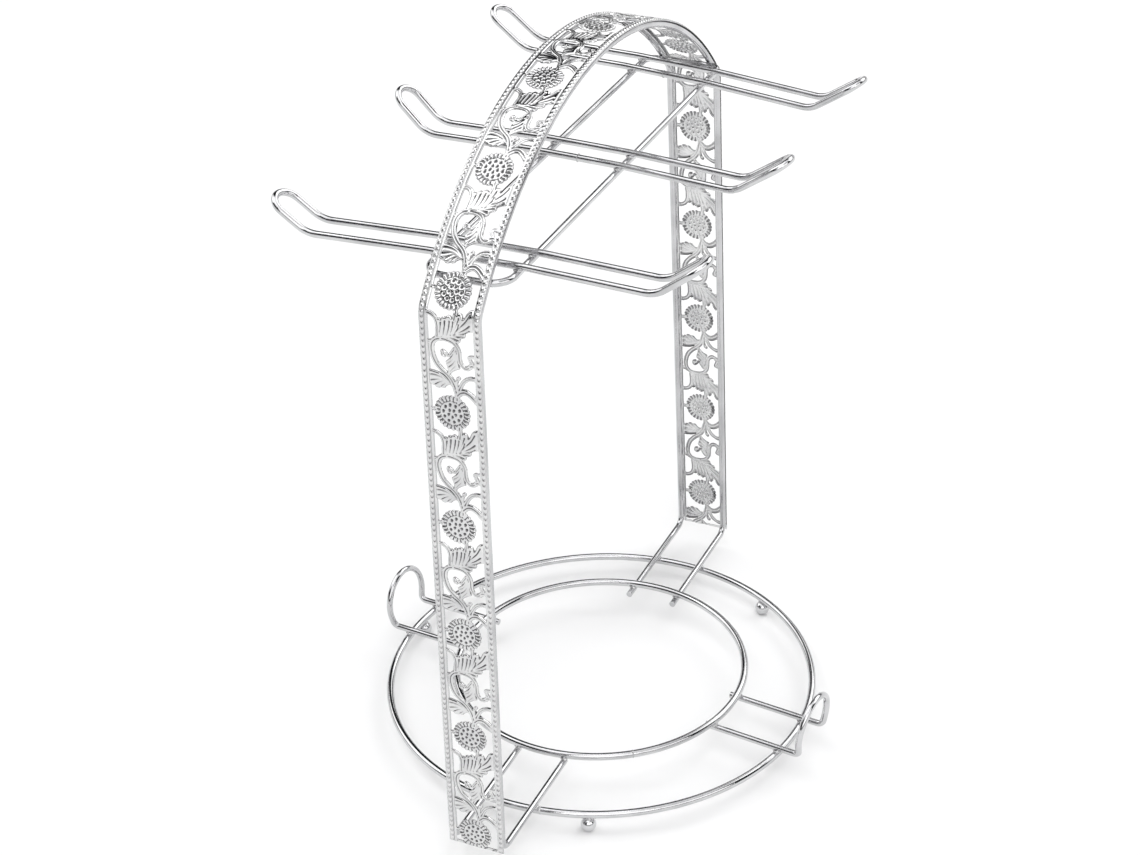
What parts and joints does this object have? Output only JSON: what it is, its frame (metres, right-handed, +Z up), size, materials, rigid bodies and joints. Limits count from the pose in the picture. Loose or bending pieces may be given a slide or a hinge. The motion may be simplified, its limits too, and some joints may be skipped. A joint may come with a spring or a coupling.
{
  "type": "mug tree",
  "caption": "Free-standing chrome wire mug rack: two base rings, an arched frame faced with a pierced floral strip, double-ended upturned hooks and two saucer stops.",
  "frame": {"origin": "on the table, at the centre of the two base rings", "axes": "+Z up, +Y from the front leg to the rear leg, +X to the right, along the mug hooks"},
  "size_m": [0.225, 0.2692, 0.3305],
  "materials": {
    "chrome_wire": "bright chrome plate over drawn steel wire",
    "stamped_strip": "bright chrome plate over stamped and pierced steel sheet",
    "ball_feet": "bright chrome plate over steel balls"
  },
  "bodies": {
    "root": {"outer_ring": "chrome_wire", "inner_ring": "chrome_wire", "left_rail": "chrome_wire", "right_rail": "chrome_wire", "filigree_strip": "stamped_strip", "hook_carrier": "chrome_wire", "front_hook": "chrome_wire", "middle_hook": "chrome_wire", "rear_hook": "chrome_wire", "left_retainer": "chrome_wire", "right_retainer": "chrome_wire", "front_ball_foot": "ball_feet", "rear_ball_foot": "ball_feet", "left_ball_foot": "ball_feet"}
  },
  "joints": []
}
